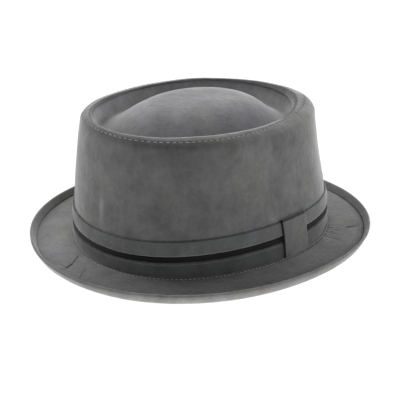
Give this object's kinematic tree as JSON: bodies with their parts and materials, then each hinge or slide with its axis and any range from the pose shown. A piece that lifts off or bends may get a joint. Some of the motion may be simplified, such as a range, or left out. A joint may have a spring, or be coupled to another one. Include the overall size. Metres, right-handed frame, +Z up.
{
  "type": "porkpie hat",
  "caption": "Cloth porkpie hat: leaning oval crown with a sunk, domed tip, narrow brim with a creased turned-up edge, folded band with a dark stripe and a keeper loop.",
  "frame": {"origin": "middle of the hat's outline on the surface it rests on", "axes": "+Z up through the crown, -Y out of the front of the hat, +X to the wearer's left, the side with the keeper"},
  "size_m": [0.2296, 0.2614, 0.104],
  "materials": {
    "crown_cloth": "matt brushed suede-look cloth, mottled mid grey, with a soft velvety light at its edges",
    "brim_cloth": "matt brushed suede-look cloth, mottled mid grey, finely creased",
    "band_cloth": "matt brushed suede-look cloth, folded and pressed flat",
    "stripe_cloth": "dull black ribbed ribbon"
  },
  "bodies": {
    "root": {"crown_side": "crown_cloth", "crown_tip": "crown_cloth", "brim": "brim_cloth", "band_lower": "band_cloth", "band_stripe": "stripe_cloth", "band_upper": "band_cloth", "keeper": "band_cloth"}
  },
  "joints": []
}
